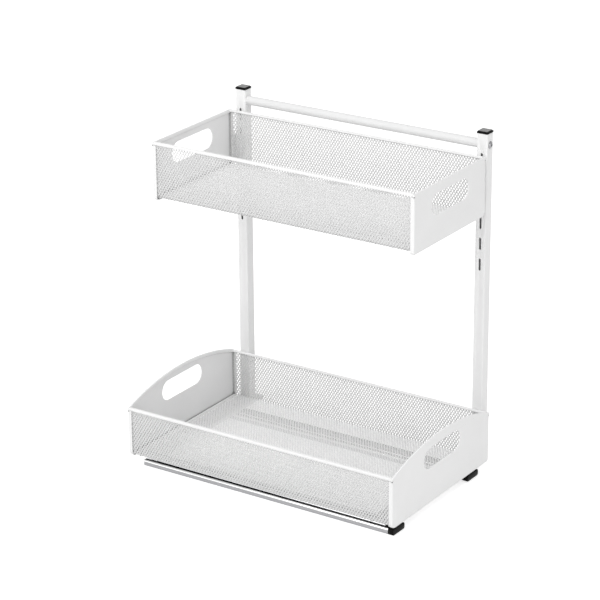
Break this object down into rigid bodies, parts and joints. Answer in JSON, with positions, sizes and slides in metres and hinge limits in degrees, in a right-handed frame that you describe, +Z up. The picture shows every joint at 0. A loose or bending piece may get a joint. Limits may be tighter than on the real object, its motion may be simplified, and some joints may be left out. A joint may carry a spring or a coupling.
{
  "type": "pull out cabinet basket",
  "caption": "White mesh cabinet basket on ball-bearing slides, with arched end panels, slotted square posts, a round crossbar and a hook-on upper basket.",
  "frame": {"origin": "centre of the bounding box, on the underside of the slides", "axes": "+X along the slides towards their end stops, +Y towards the posts, +Z up; the carriage pulls out towards -X"},
  "size_m": [0.4, 0.2536, 0.4535],
  "materials": {
    "white_coat": "satin white powder coat",
    "white_mesh": "satin white powder coat on expanded mesh",
    "zinc_steel": "zinc plated",
    "bright_steel": "bright plated",
    "black_plastic": "fine satin moulding"
  },
  "bodies": {
    "slides": {"outer_rail_front": "zinc_steel", "outer_rail_rear": "zinc_steel", "rail_stop_front": "black_plastic", "rail_stop_rear": "black_plastic"},
    "cage_front": {"ball_cage_front": "zinc_steel", "bearing_balls_front": "bright_steel"},
    "cage_rear": {"ball_cage_rear": "zinc_steel", "bearing_balls_rear": "bright_steel"},
    "carriage": {"inner_rail_front": "bright_steel", "inner_rail_rear": "bright_steel", "cross_member_left": "white_coat", "cross_member_right": "white_coat", "spacer_bushes": "zinc_steel", "carriage_screws": "bright_steel", "post_left": "white_coat", "post_right": "white_coat", "post_cap_left": "black_plastic", "post_cap_right": "black_plastic", "foot_plugs": "zinc_steel", "foot_bolts": "zinc_steel", "crossbar": "white_coat", "crossbar_inserts": "zinc_steel", "crossbar_bolts": "bright_steel", "lower_end_panel_left": "white_coat", "lower_end_panel_right": "white_coat", "lower_mesh_floor": "white_mesh", "lower_mesh_front": "white_mesh", "lower_mesh_rear": "white_mesh", "lower_rim_front": "white_coat", "lower_rim_rear": "white_coat"},
    "upper_basket": {"upper_end_panel_left": "white_coat", "upper_end_panel_right": "white_coat", "upper_mesh_floor": "white_mesh", "upper_mesh_front": "white_mesh", "upper_mesh_rear": "white_mesh", "upper_rim_front": "white_coat", "upper_rim_rear": "white_coat", "hook_bracket_left": "white_coat", "hook_bracket_right": "white_coat"}
  },
  "joints": [
    {"name": "carriage_slide", "type": "slide", "parent": "slides", "child": "carriage", "axis": [-1, 0, 0], "range_m": [0, 0.27]},
    {"name": "cage_front_roll", "type": "slide", "parent": "slides", "child": "cage_front", "axis": [-1, 0, 0], "range_m": [0, 0.135]},
    {"name": "cage_rear_roll", "type": "slide", "parent": "slides", "child": "cage_rear", "axis": [-1, 0, 0], "range_m": [0, 0.135]},
    {"name": "upper_basket_lift", "type": "slide", "parent": "carriage", "child": "upper_basket", "axis": [0, 0, 1], "range_m": [0, 0.006]}
  ],
  "couplings": [
    {"joint": "cage_front_roll", "follows": "carriage_slide", "ratio": 0.5},
    {"joint": "cage_rear_roll", "follows": "carriage_slide", "ratio": 0.5}
  ]
}
